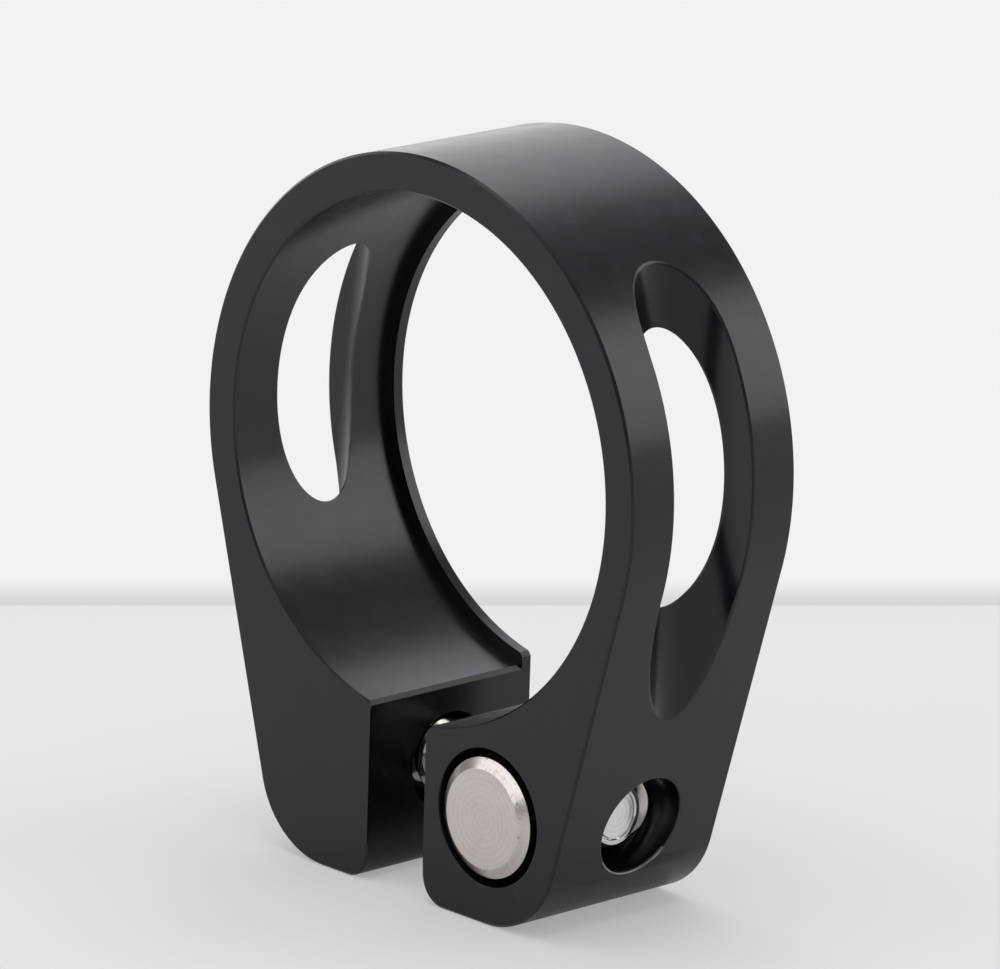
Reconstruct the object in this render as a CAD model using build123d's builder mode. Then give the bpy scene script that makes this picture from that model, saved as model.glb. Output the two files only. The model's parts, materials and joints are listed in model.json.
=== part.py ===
"""Seatpost clamp: a split collar that a screw closes by pulling on a barrel nut.

Millimetres. The origin lies on the bore's axis, midway along the collar. +Y runs along the bore to
the lip, +Z is up, and the lugs point down, so the clamp stands on the flat feet of its lugs.
"""
from build123d import *
from math import cos, radians, sin
import os

# Collar: the ring and its lip
bore_diameter = 34.9
ring_wall = 2.58
collar_width = 14.5
lip_height = 0.82
lip_thickness = 0.88
front_chamfer = 0.15
rear_chamfer = 0.1

# Collar: the lugs and the split between them
flank_angle = 15.5
corner_radius = 6.25
split_gap = 5.25
split_shift = 0.83
foot_round = 1.9
left_mouth_chamfer = 0.25
right_mouth_round = 0.9
foot_below_screw = 7.2

# Collar: the run-out slot in each side
slot_width = 7.0
slot_depth = 4.9
slot_tilt = 6.0
slot_edge_chamfer = 0.25

# Barrel nut
barrel_diameter = 8.0
barrel_offset = 7.75
barrel_bevel = 0.6
barrel_fit = 0.05
barrel_proud = 0.45
barrel_hole_chamfer = 0.5

# Screw
screw_diameter = 5.0
screw_core = 4.13
screw_length = 22.0
screw_below_bore = 4.75
screw_reach = 0.54
screw_hole_diameter = 6.7
screw_hole_drop = 0.25
thread_fit = 0.03
head_diameter = 8.5
head_height = 5.0
head_chamfer = 0.4
socket_flats = 4.0
socket_depth = 2.5

# Washer and the recess that it sits in
washer_diameter = 9.0
washer_thickness = 1.0
washer_fit = 0.15
recess_clearance = 0.7
seat_play = 0.25

# Places that follow from the sizes
bore_radius = bore_diameter / 2
lip_radius = bore_radius - lip_height
outer_radius = bore_radius + ring_wall
barrel_radius = barrel_diameter / 2
screw_radius = screw_diameter / 2
screw_z = -(bore_radius + screw_below_bore)
foot_z = screw_z - foot_below_screw
split_left = -split_gap / 2 - split_shift
split_right = split_gap / 2 - split_shift
tip_x = barrel_offset + barrel_radius + screw_reach
head_seat_x = tip_x - screw_length
head_end_x = head_seat_x - head_height
recess_seat_x = head_seat_x + washer_thickness + seat_play
clear_of_collar = 2 * outer_radius

front_plane = Plane.XZ.offset(collar_width / 2)
rear_plane = Plane.XZ.offset(-collar_width / 2)
lip_plane = Plane.XZ.offset(lip_thickness - collar_width / 2)
screw_axis = Axis((0, 0, screw_z), (1, 0, 0))


def collar_section(plane, inner_radius):
    """The collar's section: a ring on two tapered lugs, open at the split."""
    lean = radians(flank_angle)
    flank_top = (outer_radius * cos(lean), -outer_radius * sin(lean))
    foot_corner = ((outer_radius + foot_z * sin(lean)) / cos(lean), foot_z)
    with BuildSketch(plane) as section:
        Circle(outer_radius)
        with BuildLine():
            Polyline(
                flank_top,
                foot_corner,
                (-foot_corner[0], foot_corner[1]),
                (-flank_top[0], flank_top[1]),
                close=True,
            )
        make_face()
        fillet(section.vertices().group_by(Axis.Y)[0], corner_radius)
        Circle(inner_radius, mode=Mode.SUBTRACT)
        with Locations((split_left, 0)):
            Rectangle(split_gap, clear_of_collar, align=(Align.MIN, Align.MAX), mode=Mode.SUBTRACT)
        fillet(section.vertices().group_by(Axis.Y)[0].sort_by(Axis.X)[1:3], foot_round)
        right_face = section.edges().filter_by(Axis.Y).sort_by(Axis.X)[-1]
        fillet(right_face.vertices().sort_by(Axis.Y)[-1], right_mouth_round)
    return section.sketch


def is_bore_wall(face):
    """Whether a face is the wall that grips the seat tube."""
    return face.geom_type == GeomType.CYLINDER and abs(face.radius - bore_radius) < lip_height / 2


def lies_in_slots(edge):
    """Whether an edge lies within the width of the slots."""
    box = edge.bounding_box()
    return max(box.max.Y, -box.min.Y) < slot_width / 2 + slot_edge_chamfer


with BuildPart() as clamp_collar:
    # Ring and lugs, with the lip at the rear
    extrude(collar_section(lip_plane, bore_radius), amount=collar_width - lip_thickness)
    extrude(collar_section(rear_plane, lip_radius), amount=lip_thickness)
    chamfer(clamp_collar.faces().sort_by(Axis.Y)[0].edges(), front_chamfer)
    chamfer(clamp_collar.faces().sort_by(Axis.Y)[-1].edges(), rear_chamfer)

    # Run-out slots, milled a little off the vertical with a round-nosed cut
    tilt = radians(slot_tilt)
    slot_nose_x = outer_radius - slot_depth + slot_width / 2
    for side in (-1, 1):
        slot_plane = Plane(
            origin=(side * slot_nose_x, 0, 0),
            x_dir=(side * cos(tilt), 0, sin(tilt)),
            z_dir=(-side * sin(tilt), 0, cos(tilt)),
        )
        with BuildSketch(slot_plane):
            Circle(slot_width / 2)
            Rectangle(clear_of_collar, slot_width, align=(Align.MIN, Align.CENTER))
        extrude(amount=clear_of_collar, both=True, mode=Mode.SUBTRACT)
    bore_edges = clamp_collar.faces().filter_by(is_bore_wall).edges()
    chamfer(bore_edges.filter_by(lies_in_slots), slot_edge_chamfer)
    bore_edges = clamp_collar.faces().filter_by(is_bore_wall).edges()
    chamfer(bore_edges.filter_by(Axis.Y).sort_by(Axis.X)[0], left_mouth_chamfer)

    # Cross hole for the barrel nut, chamfered at both mouths
    with BuildSketch(front_plane):
        with Locations((barrel_offset, screw_z)):
            Circle(barrel_radius + barrel_fit)
    extrude(amount=-collar_width, mode=Mode.SUBTRACT)
    mouths = clamp_collar.edges().filter_by(GeomType.CIRCLE)
    mouths = mouths.filter_by(lambda edge: abs(edge.radius - barrel_radius - barrel_fit) < barrel_fit / 2)
    chamfer(mouths, barrel_hole_chamfer)

    # Hole for the screw through both lugs, and the recess for its head
    with BuildSketch(Plane.YZ):
        with Locations((0, screw_z - screw_hole_drop)):
            Circle(screw_hole_diameter / 2)
    extrude(amount=clear_of_collar, both=True, mode=Mode.SUBTRACT)
    with BuildSketch(Plane.YZ.offset(recess_seat_x)):
        with Locations((0, screw_z)):
            Circle(washer_diameter / 2 + recess_clearance)
    extrude(amount=-clear_of_collar, mode=Mode.SUBTRACT)

with BuildPart() as barrel_nut:
    barrel_length = collar_width + 2 * barrel_proud
    with BuildSketch(Plane.XZ):
        with Locations((barrel_offset, screw_z)):
            Circle(barrel_radius)
    extrude(amount=barrel_length / 2, both=True)
    chamfer(barrel_nut.edges().filter_by(GeomType.CIRCLE), barrel_bevel)
    with BuildSketch(Plane.YZ.offset(barrel_offset)):
        with Locations((0, screw_z)):
            Circle(screw_radius + thread_fit)
    extrude(amount=barrel_diameter, both=True, mode=Mode.SUBTRACT)

with BuildPart() as clamp_bolt:
    # Shank and head, turned about the screw's axis
    head_radius = head_diameter / 2
    core_radius = screw_core / 2
    tip_chamfer = screw_radius - core_radius
    with BuildSketch(Plane.XZ):
        with BuildLine():
            Polyline(
                (tip_x, screw_z),
                (tip_x, screw_z + core_radius),
                (tip_x - tip_chamfer, screw_z + screw_radius),
                (head_seat_x, screw_z + screw_radius),
                (head_seat_x, screw_z + head_radius),
                (head_end_x + head_chamfer, screw_z + head_radius),
                (head_end_x, screw_z + head_radius - head_chamfer),
                (head_end_x, screw_z),
                close=True,
            )
        make_face()
    revolve(axis=screw_axis)
    # Hexagon socket
    with BuildSketch(Plane.YZ.offset(head_end_x)):
        with Locations((0, screw_z)):
            RegularPolygon(socket_flats / 2, side_count=6, major_radius=False)
    extrude(amount=socket_depth, mode=Mode.SUBTRACT)

with BuildPart() as bolt_washer:
    with BuildSketch(Plane.YZ.offset(head_seat_x)):
        with Locations((0, screw_z)):
            Circle(washer_diameter / 2)
            Circle(screw_radius + washer_fit, mode=Mode.SUBTRACT)
    extrude(amount=washer_thickness)

os.makedirs("parts", exist_ok=True)
clamp_collar.part.label = "clamp_collar"
export_step(clamp_collar.part, "parts/clamp_collar.step")
barrel_nut.part.label = "barrel_nut"
export_step(barrel_nut.part, "parts/barrel_nut.step")
clamp_bolt.part.label = "clamp_bolt"
export_step(clamp_bolt.part, "parts/clamp_bolt.step")
bolt_washer.part.label = "bolt_washer"
export_step(bolt_washer.part, "parts/bolt_washer.step")
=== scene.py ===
"""Seatpost clamp on a pale studio floor.

The clamp is a split collar with a lip at the rear of its bore, a round-nosed slot in each side, and two
lugs that a screw draws together by pulling on a barrel nut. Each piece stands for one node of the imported
frame and rides on that node's body. Lengths are metres; +Y runs along the bore to the lip and +Z is up.
"""
import json
from math import acos, atan2, ceil, copysign, cos, hypot, pi, radians, sin, sqrt, tan

import bmesh
import bpy
from bpy.props import FloatProperty, FloatVectorProperty, IntProperty, PointerProperty
from bpy.types import Operator, Panel, PropertyGroup
from mathutils import Matrix, Vector


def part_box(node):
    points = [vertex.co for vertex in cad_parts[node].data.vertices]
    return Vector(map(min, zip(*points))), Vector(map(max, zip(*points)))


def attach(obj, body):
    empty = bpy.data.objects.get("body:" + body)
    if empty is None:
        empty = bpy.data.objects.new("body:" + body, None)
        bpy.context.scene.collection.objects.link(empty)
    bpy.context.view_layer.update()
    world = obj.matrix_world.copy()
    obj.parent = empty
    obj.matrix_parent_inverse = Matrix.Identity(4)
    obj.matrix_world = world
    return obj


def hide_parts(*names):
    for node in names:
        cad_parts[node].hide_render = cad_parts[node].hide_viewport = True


bl_info = {
    "name": "Seatpost Clamp",
    "version": (1, 0, 0),
    "blender": (4, 5, 0),
    "location": "View3D > Sidebar > Clamp",
    "description": "Models a seatpost clamp piece by piece and sets it on a studio floor",
    "category": "Add Mesh",
}

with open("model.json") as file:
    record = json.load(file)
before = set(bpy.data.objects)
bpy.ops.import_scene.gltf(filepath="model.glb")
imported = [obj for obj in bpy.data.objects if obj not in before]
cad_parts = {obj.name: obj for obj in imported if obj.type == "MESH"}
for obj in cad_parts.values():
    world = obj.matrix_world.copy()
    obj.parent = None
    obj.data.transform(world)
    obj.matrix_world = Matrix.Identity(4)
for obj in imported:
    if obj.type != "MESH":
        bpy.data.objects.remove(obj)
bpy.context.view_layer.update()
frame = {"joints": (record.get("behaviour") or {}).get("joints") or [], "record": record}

MM = 0.001
IMAGE_SIZE = (1000, 969)
X = Vector((1, 0, 0))
Y = Vector((0, 1, 0))
Z = Vector((0, 0, 1))

# Vertices closer than MERGE are one, and a vertex closer than NEAR to a surface lies on it
MERGE = 0.002 * MM
NEAR = 0.01 * MM

# How far a cutter runs past a face, and how far one reaches that goes right through
OVER = MM
THROUGH = 30 * MM

# How finely round stretches are drawn
RING_POINTS = 720
BORE_STEP = radians(2)
CORNER_STEP = radians(3)
MOUTH_STEP = radians(6)
FOOT_STEP = radians(8)
FEWEST_STEPS = 4
HOLE_STEPS = 96
WINDOW_STEPS = 120
BARREL_STEPS = 128
WASHER_STEPS = 96
TOOTH_STEPS = 4
SLOT_RIM_STEPS = 3
HOLE_RIM_STEPS = 2

# Faces that meet at less than these angles are shaded as one surface
COLLAR_CREASE = radians(35)
STEEL_CREASE = radians(30)

# The camera's sensor in millimetres, and the nearest and farthest that it sees
SENSOR_WIDTH = 36
NEAREST, FARTHEST = 0.01, 50

joints = {joint["name"]: joint for joint in frame["joints"]}
collar_low, collar_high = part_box("clamp_collar")
barrel_low, barrel_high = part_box("barrel_nut")
bolt_low, bolt_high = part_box("clamp_bolt")
washer_low, washer_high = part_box("bolt_washer")
barrel_x, _, screw_z = joints["barrel_pivot"]["pos_m"]
bore_radius = frame["record"]["mounts"][0]["dims"]["r_mm"] * MM
collar_front = collar_low.y
collar_rear = collar_high.y
foot_z = collar_low.z
screw_line = Vector((0, 0, screw_z))
barrel_line = Vector((barrel_x, 0, screw_z))


def length(name, description, millimetres):
    """A size that a user can set, in metres, from its default in millimetres."""
    return FloatProperty(
        name=name, description=description, default=millimetres * MM, unit="LENGTH", precision=5
    )


def angle(name, description, value):
    """An angle that a user can set, from its default in degrees."""
    return FloatProperty(name=name, description=description, default=radians(value), unit="ROTATION")


def colour(name, description, value):
    """A colour that a user can set, in linear red, green and blue."""
    return FloatVectorProperty(
        name=name, description=description, default=value, subtype="COLOR", size=3, min=0, max=1
    )


def share(name, description, value):
    """A share from 0 to 1 that a user can set."""
    return FloatProperty(name=name, description=description, default=value, min=0, max=1, subtype="FACTOR")


def glow(name, description, value):
    """How bright a lamp's face looks, where 1 is white."""
    return FloatProperty(name=name, description=description, default=value, min=0)


class CollarSettings(PropertyGroup):
    """Sizes and colour of the split collar."""

    outer_radius: length("Outer radius", "Radius of the ring's outside", collar_high.z / MM)
    lip_radius: length("Lip radius", "Radius of the opening through the lip", 16.63)
    lip_thickness: length("Lip thickness", "Length of the lip along the bore", 0.88)
    front_chamfer: length("Front chamfer", "Chamfer round the outer edge of the front face", 0.16)
    bore_chamfer: length("Bore chamfer", "Chamfer on the front edge of the bore", 0.13)
    split_chamfer: length("Split chamfer", "Chamfer on the front edges of the split", 0.06)
    rear_chamfer: length("Rear chamfer", "Chamfer on the edges of the rear face", 0.1)
    flank_angle: angle("Flank angle", "Lean of the lugs' outer sides from the vertical", 15.5)
    corner_radius: length("Corner radius", "Radius of the lugs' outer lower corners", 6.25)
    split_left: length("Split left", "Position of the split's left face", -3.455)
    split_right: length("Split right", "Position of the split's right face", 1.795)
    foot_round: length("Foot round", "Radius of the lugs' inner lower corners", 1.9)
    left_mouth: length("Left mouth", "Chamfer where the split's left face meets the bore", 0.25)
    right_mouth: length("Right mouth", "Radius where the split's right face meets the bore", 0.9)
    slot_radius: length("Slot radius", "Radius of the round nose of the side slots", 3.5)
    slot_depth: length("Slot depth", "Depth of the side slots from the ring's outside", 4.9)
    slot_tilt: angle("Slot tilt", "Lean of the side slots from the vertical", 6.0)
    slot_edge: length("Slot edge", "How far the slots' sharp edges in the bore are cut back", 0.1)
    slot_rim: length("Slot rim", "Rounding of the slots' edges on the outside", 0.16)
    barrel_hole: length("Barrel hole", "Radius of the hole across the right lug", 4.05)
    recess_width: length("Barrel recess", "Width of the recess round each end of the barrel", 0.5)
    recess_depth: length("Barrel recess depth", "Depth of that recess", 1.6)
    recess_edge: length("Barrel recess edge", "Rounding of that recess's edge", 0.16)
    screw_hole: length("Screw hole", "Radius of the screw's hole through the lugs", 3.35)
    screw_hole_drop: length("Screw hole drop", "How far that hole lies below the screw's axis", 0.25)
    screw_hole_edge: length("Screw hole edge", "Rounding of that hole's outer edge", 0.16)
    head_recess: length("Head recess", "Radius of the recess round the screw's head", 5.2)
    head_play: length("Head play", "Room between the washer and the floor of that recess", 0.25)
    tint: colour("Anodising", "Colour of the dyed surface", (0.002, 0.002, 0.0042))
    cloud_tint: colour("Cloud tint", "Colour of the faint brown clouds in the dye", (0.007, 0.0045, 0.0045))
    bare_tint: colour("Bare metal", "Colour of an edge that has lost its dye", (0.55, 0.55, 0.57))
    roughness: share("Satin", "How far the blasted surface spreads what it mirrors", 0.255)
    gloss: share("Gloss", "How strongly the sealed surface mirrors", 0.62)
    gloss_tint: colour("Gloss tint", "Colour of what the sealed surface mirrors", (0.92, 0.92, 1.0))
    grain_depth: length("Grain depth", "Depth of the blasted grain", 0.0012)
    streaks: FloatProperty(name="Streaks", description="Depth of the milling streaks in grains", default=2.0)


class BarrelSettings(PropertyGroup):
    """Sizes and colour of the barrel nut."""

    bevel_width: length("Bevel width", "Width of the bevel round each end", 0.68)
    bevel_length: length("Bevel length", "Length of that bevel along the barrel", 0.46)
    thread_radius: length("Thread radius", "Radius of the threaded cross hole", 2.53)
    mouth: length("Mouth", "Countersink at both ends of the cross hole", 0.25)
    ring_pitch: length("Ring pitch", "Distance between the turned rings on the ends", 0.42)
    ring_depth: length("Ring depth", "Depth of the turned rings on the ends", 0.004)
    nib: length("Nib", "Radius of the point that the parting tool leaves", 0.12)
    tint: colour("Steel", "Colour of the barrel's turned steel", (0.88, 0.81, 0.79))
    # This colour also serves as painted shade on a thread; the barrel has none
    speck_and_shade_tint: colour("Stain", "Colour of the specks round the barrel's ends", (0.3, 0.26, 0.21))
    specks: share("Specks", "Share of the rim that is stained", 0.4)
    roughness: share("Satin", "How far the turned steel spreads what it mirrors", 0.33)
    ring_relief: length("Ring relief", "Depth of the finest rings", 0.002)
    # Painted shade that darkens a thread; the barrel has none
    painted_shade_depth: share("Thread shade depth", "How far painted shade darkens a thread", 0.0)


class ScrewSettings(PropertyGroup):
    """Sizes and colour of the socket screw and its washer."""

    radius: length("Thread radius", "Outer radius of the thread", 2.5)
    core_radius: length("Core radius", "Radius at the root of the thread", 2.065)
    pitch: length("Pitch", "Distance from one thread to the next", 0.8)
    head_height: length("Head height", "Length of the head", 5.0)
    head_chamfer: length("Head chamfer", "Chamfer on the end of the head", 0.4)
    knurl_depth: length("Knurl depth", "Depth of the grooves round the head", 0.16)
    knurl_teeth: IntProperty(name="Knurl teeth", description="Grooves round the head", default=44)
    socket_flats: length("Socket flats", "Width across the flats of the socket", 4.0)
    socket_depth: length("Socket depth", "Depth of the socket", 2.5)
    washer_hole: length("Washer hole", "Radius of the washer's hole", 2.65)
    washer_chamfer: length("Washer chamfer", "Chamfer on the washer's edges", 0.12)
    groove_radius: length("Groove radius", "Radius of the groove turned in the tip", 1.7)
    groove_width: length("Groove width", "Width of that groove", 0.16)
    groove_depth: length("Groove depth", "Depth of that groove", 0.06)
    tint: colour("Zinc", "Colour of the screw's bright finish", (0.98, 0.98, 0.97))
    # This colour is also that of the painted shade on the thread between the lugs
    speck_and_shade_tint: colour("Stain", "Colour of the specks in the screw's finish and of its painted thread shade", (0.16, 0.15, 0.13))
    ring_pitch: length("Ring pitch", "Distance between the rings on the tip", 0.34)
    specks: share("Specks", "Share of the finish that is stained", 0.38)
    roughness: share("Satin", "How far the bright finish spreads what it mirrors", 0.2)
    ring_relief: length("Ring relief", "Depth of the rings on the tip", 0.002)
    # Painted shade that darkens the thread where it lies between the lugs
    painted_shade_depth: share("Thread shade depth", "How far painted shade darkens the thread", 0.8)


class StageSettings(PropertyGroup):
    """The floor, the backdrop, the lights and the camera."""

    azimuth: angle("Azimuth", "Turn of the view round the vertical", 45.931)
    elevation: angle("Elevation", "Height of the view above the floor", 15.252)
    roll: angle("Roll", "Turn of the camera about its own axis", 1.862)
    distance: length("Distance", "Distance from the camera to the clamp", 534.65)
    aim_right: length("Aim right", "How far right of the bore's centre the camera aims", 0.24)
    aim_up: length("Aim up", "How far above the bore's centre the camera aims", -2.724)
    lens: FloatProperty(name="Lens", description="Focal length in millimetres", default=296.35)
    horizon_row: IntProperty(name="Horizon row", description="Image row where the floor ends", default=605)
    reach: length("Reach", "Width of the floor, and its length towards the camera", 1400)
    floor_tint: colour("Floor", "Colour of the floor where the lamps light it", (0.45, 0.45, 0.45))
    floor_glow: colour("Floor glow", "Pale colour that the floor keeps in a shadow", (0.34, 0.34, 0.34))
    floor_mirror: share("Floor mirror", "Share of that glow that shows in mirrors", 0.46)
    cove_tint: colour("Cove tint", "Colour of the bend behind the floor", (0.68, 0.68, 0.68))
    cove_height: length("Cove height", "Height over which that bend fades into the backdrop", 2.2)
    backdrop: colour("Backdrop", "Colour of the studio below the floor's level", (0.885, 0.885, 0.89))
    room: colour("Room", "Colour of the studio above the floor's level", (0.24, 0.24, 0.245))
    lamp_distance: length("Lamp distance", "Distance from the clamp to each lamp", 600)
    top_glow: glow("Top light", "Brightness of the lamp overhead", 1.85)
    back_glow: glow("Back light", "Brightness of the lamp behind the clamp", 1.1)
    side_glow: glow("Side light", "Brightness of the lamp at the right", 1.7)
    left_glow: glow("Left light", "Brightness of the lamp at the left", 0.96)
    back_tint: colour("Back tint", "Colour of the lamp behind the clamp", (0.97, 0.965, 1.0))
    side_tint: colour("Side tint", "Colour of the lamp at the right", (1.0, 0.99, 0.9))
    plain_tint: colour("Plain tint", "Colour of the other two lamps", (1.0, 1.0, 1.0))


def select_only(piece):
    """Select one piece and make it the active one."""
    bpy.ops.object.select_all(action="DESELECT")
    piece.select_set(True)
    bpy.context.view_layer.objects.active = piece


def reopen(piece):
    """Open one piece for editing, with nothing selected."""
    select_only(piece)
    bpy.ops.object.mode_set(mode="EDIT")
    bpy.ops.mesh.select_mode(type="VERT")
    bpy.ops.mesh.select_all(action="DESELECT")


def open_new(name, add, **where):
    """Add a primitive for a new piece and open it for editing, with nothing selected."""
    bpy.ops.object.select_all(action="DESELECT")
    add(**where)
    piece = bpy.context.object
    piece.name = name
    piece.data.name = name
    bpy.ops.object.transform_apply(location=True, rotation=True, scale=True)
    reopen(piece)
    return piece


def open_point(name, place):
    """Start a new piece from one selected point, and open it for editing."""
    piece = open_new(name, bpy.ops.mesh.primitive_circle_add, vertices=3, radius=MM, location=place)
    bpy.ops.mesh.select_all(action="SELECT")
    bpy.ops.mesh.merge(type="CENTER")
    return piece


def close():
    """Leave edit mode."""
    bpy.ops.object.mode_set(mode="OBJECT")


def pick(piece, kind, test):
    """Select the vertices, edges or faces of the open piece that pass a test; returns how many."""
    bpy.ops.mesh.select_mode(type=kind)
    bpy.ops.mesh.select_all(action="DESELECT")
    mesh = bmesh.from_edit_mesh(piece.data)
    items = {"VERT": mesh.verts, "EDGE": mesh.edges, "FACE": mesh.faces}[kind]
    chosen = [item for item in items if test(item)]
    for item in chosen:
        item.select_set(True)
    mesh.select_flush_mode()
    bmesh.update_edit_mesh(piece.data)
    return len(chosen)


def pick_point(piece, x, y, z):
    """Select the one vertex at a point."""
    point = Vector((x, y, z))
    if pick(piece, "VERT", lambda vertex: (vertex.co - point).length < MERGE) != 1:
        raise RuntimeError(f"{piece.name} has no single vertex at {tuple(point)}")


def tip_of(piece):
    """Where the one selected vertex is."""
    return next(vertex.co.copy() for vertex in bmesh.from_edit_mesh(piece.data).verts if vertex.select)


def draw_on(move):
    """Draw the outline on from its selected end by a straight move."""
    bpy.ops.mesh.extrude_vertices_move(TRANSFORM_OT_translate={"value": move})


def line_to(piece, x, z):
    """Draw the outline on from its selected end, straight to a point of its plane."""
    tip = tip_of(piece)
    draw_on((x - tip.x, 0, z - tip.z))


def arc_round(piece, x, z, turn, step):
    """Draw the outline on from its selected end, round a centre; a positive turn is anticlockwise."""
    steps = max(FEWEST_STEPS, ceil(abs(turn) / step))
    bpy.ops.mesh.spin(steps=steps, angle=turn, center=(x, tip_of(piece).y, z), axis=Y)


def push(move):
    """Push the selected face on by a move, with walls behind it."""
    bpy.ops.mesh.select_mode(type="FACE")
    bpy.ops.mesh.extrude_region_move(TRANSFORM_OT_translate={"value": move})


def merge_all():
    """Weld the vertices that lie on each other."""
    bpy.ops.mesh.select_mode(type="VERT")
    bpy.ops.mesh.select_all(action="SELECT")
    bpy.ops.mesh.remove_doubles(threshold=MERGE)


def fill_ends():
    """Fill the open ends of the open piece, and leave all of it selected."""
    bpy.ops.mesh.select_all(action="SELECT")
    bpy.ops.mesh.fill_holes(sides=0)
    bpy.ops.mesh.select_all(action="SELECT")


def face_outwards():
    """Turn every face of the open piece outwards."""
    bpy.ops.mesh.select_mode(type="FACE")
    bpy.ops.mesh.select_all(action="SELECT")
    bpy.ops.mesh.normals_make_consistent(inside=False)
    bpy.ops.mesh.select_all(action="DESELECT")


def use_modifier(piece, name, kind, **values):
    """Add a modifier to a piece, set it and apply it."""
    select_only(piece)
    modifier = piece.modifiers.new(name, kind)
    for key, value in values.items():
        setattr(modifier, key, value)
    bpy.ops.object.modifier_apply(modifier=modifier.name)


def cut(piece, tool):
    """Cut a piece with a tool, which is then thrown away."""
    use_modifier(piece, "Cut", "BOOLEAN", object=tool, operation="DIFFERENCE", solver="EXACT")
    bpy.data.meshes.remove(tool.data)


def smooth(piece, limit):
    """Shade a piece smooth where its faces meet at less than an angle."""
    select_only(piece)
    bpy.ops.object.shade_smooth_by_angle(angle=limit)


def mark_faces(piece, mark, test):
    """Mark the faces whose corners all pass a test, for a material to read."""
    marks = piece.data.attributes.new(mark, "FLOAT", "FACE")
    points = piece.data.vertices
    for face in piece.data.polygons:
        marks.data[face.index].value = all(test(points[corner].co) for corner in face.vertices)


def paint(piece, material):
    """Give a piece its one material."""
    piece.data.materials.clear()
    piece.data.materials.append(material)


def turned(name, axis, start, profile, steps):
    """A closed turned piece: a profile of (along, radius) pairs spun about an axis through a point.

    The profile starts and ends on the axis. Along is measured from the point.
    """
    piece = open_point(name, start + axis * profile[0][0])
    for (along, radius), (last_along, last_radius) in zip(profile[1:], profile):
        draw_on(axis * (along - last_along) + Z * (radius - last_radius))
    bpy.ops.mesh.select_all(action="SELECT")
    bpy.ops.mesh.spin(steps=steps, angle=2 * pi, center=start, axis=axis)
    merge_all()
    bpy.ops.mesh.dissolve_degenerate(threshold=MERGE)
    face_outwards()
    close()
    return piece


def drilled(piece, axis, start, profile):
    """Drill a turned hole in a piece."""
    cut(piece, turned("tool", axis, start, profile, HOLE_STEPS))


def plain_hole(low, high, radius):
    """The profile of a hole of one width."""
    return [(low, 0), (low, radius), (high, radius), (high, 0)]


def both_ends(profile):
    """A profile and then its mirror image, so that both ends of a piece are alike."""
    return profile + [(-along, radius) for along, radius in reversed(profile)]


def mouth_points(s, radius):
    """Where the split's faces run into a bore of some radius.

    Gives the centre of the right mouth's round, at whose height the right face ends, the turn of that
    round, the height where the left face ends, and the turn of the bore from the right mouth to the left.
    """
    centre_x = s.split_right + s.right_mouth
    centre_z = -sqrt((radius + s.right_mouth) ** 2 - centre_x**2)
    start = atan2(centre_z, centre_x)
    left_corner = -sqrt(radius**2 - s.split_left**2)
    end = atan2(left_corner, s.split_left) - s.left_mouth / radius
    return (centre_x, centre_z), -start, left_corner - s.left_mouth, end + 2 * pi - start


def draw_bore(piece, s, radius):
    """Draw on from the right face, round the right mouth and the bore, to the left face."""
    (centre_x, centre_z), turn, left_end, sweep = mouth_points(s, radius)
    if abs(tip_of(piece).z - centre_z) > MERGE:
        line_to(piece, s.split_right, centre_z)
    arc_round(piece, centre_x, centre_z, -turn, MOUTH_STEP)
    arc_round(piece, 0, 0, sweep, BORE_STEP)
    line_to(piece, s.split_left, left_end)


def corner_centre(s):
    """How far out and how high the centre of a lug's outer lower corner lies."""
    lean = s.flank_angle
    corner_x = (s.outer_radius + foot_z * sin(lean)) / cos(lean)
    return corner_x - s.corner_radius * tan((pi / 2 - lean) / 2), foot_z + s.corner_radius


def draw_lug(piece, s, side, split_x, mouth_z):
    """Draw one lug on from the end of the ring: flank, corner, foot and the split's face."""
    lean = s.flank_angle
    centre_x, centre_z = corner_centre(s)
    flank_end_x = centre_x + s.corner_radius * cos(lean)
    foot_x = split_x + side * s.foot_round
    line_to(piece, side * flank_end_x, centre_z - s.corner_radius * sin(lean))
    arc_round(piece, side * centre_x, centre_z, -side * (pi / 2 - lean), CORNER_STEP)
    line_to(piece, foot_x, foot_z)
    arc_round(piece, foot_x, foot_z + s.foot_round, -side * pi / 2, FOOT_STEP)
    line_to(piece, split_x, mouth_z)


def lies_at(item, y):
    """Whether an edge or a face lies at one place along the bore."""
    return all(abs(vertex.co.y - y) < MERGE for vertex in item.verts)


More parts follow.
